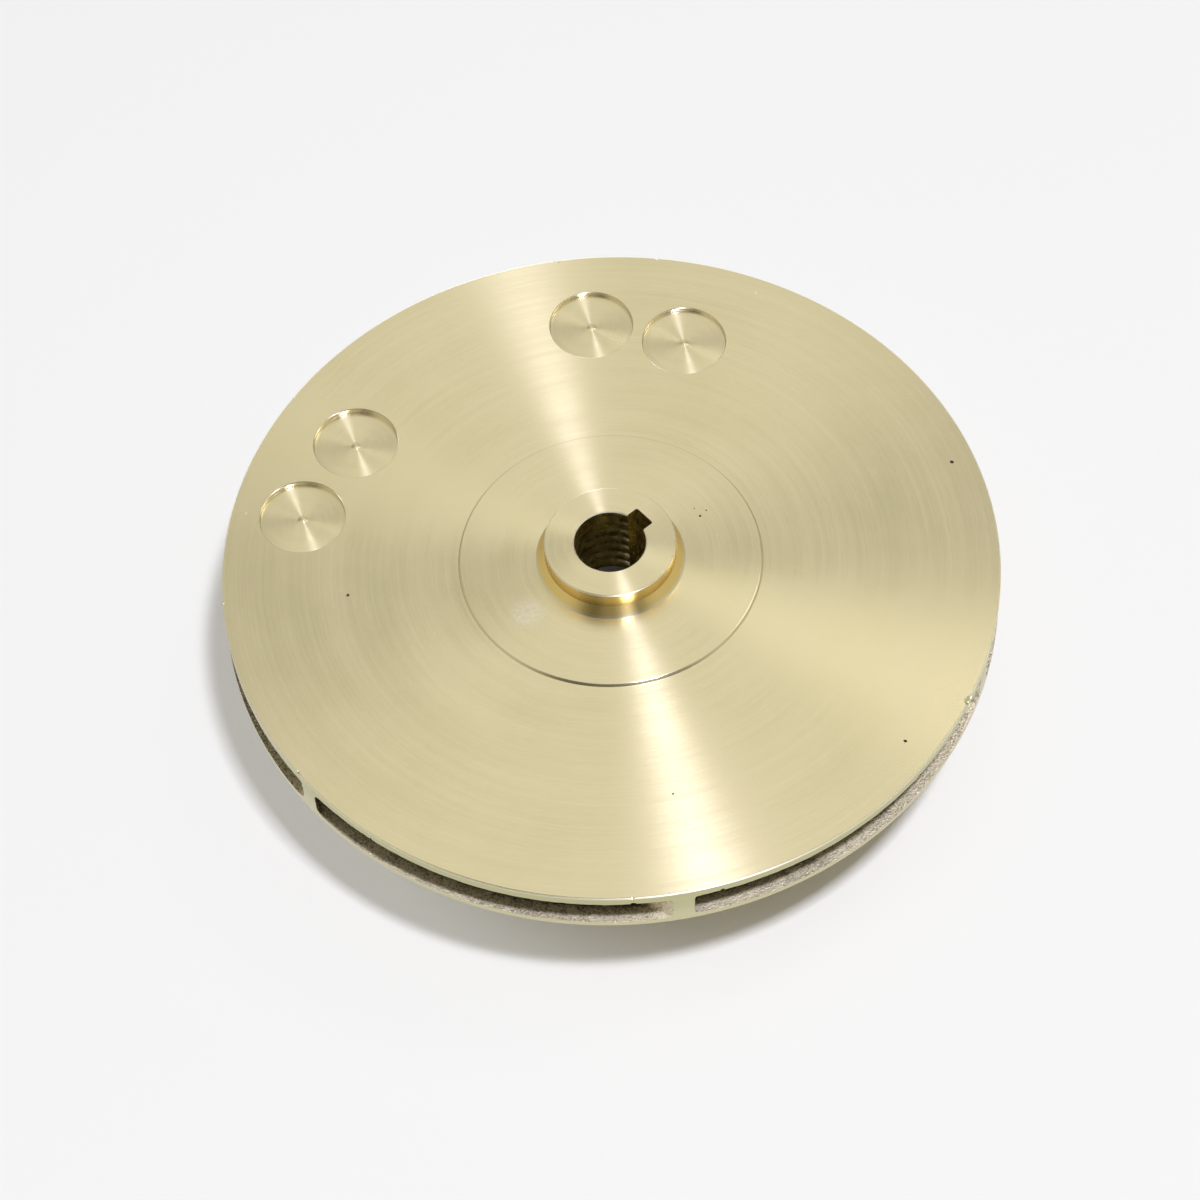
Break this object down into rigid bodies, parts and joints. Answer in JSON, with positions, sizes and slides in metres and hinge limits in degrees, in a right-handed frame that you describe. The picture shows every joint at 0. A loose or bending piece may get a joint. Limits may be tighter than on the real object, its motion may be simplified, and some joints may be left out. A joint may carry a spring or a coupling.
{
  "type": "pump impeller",
  "caption": "Closed radial pump impeller in turned brass: flat back disc with keyed hub boss, backward-curved vanes between two shrouds, and a suction eye ring",
  "frame": {"origin": "on the bore axis, in the plane of the end face of the suction eye ring", "axes": "+Z along the bore out of the back of the impeller, through the boss; the keyway lies at 39.8 degrees from +X towards +Y"},
  "size_m": [0.13, 0.13, 0.034],
  "materials": {
    "brass": "turned bright brass with concentric tool marks, sand-cast skin inside the passages"
  },
  "bodies": {
    "root": {"impeller": "brass"}
  },
  "joints": []
}
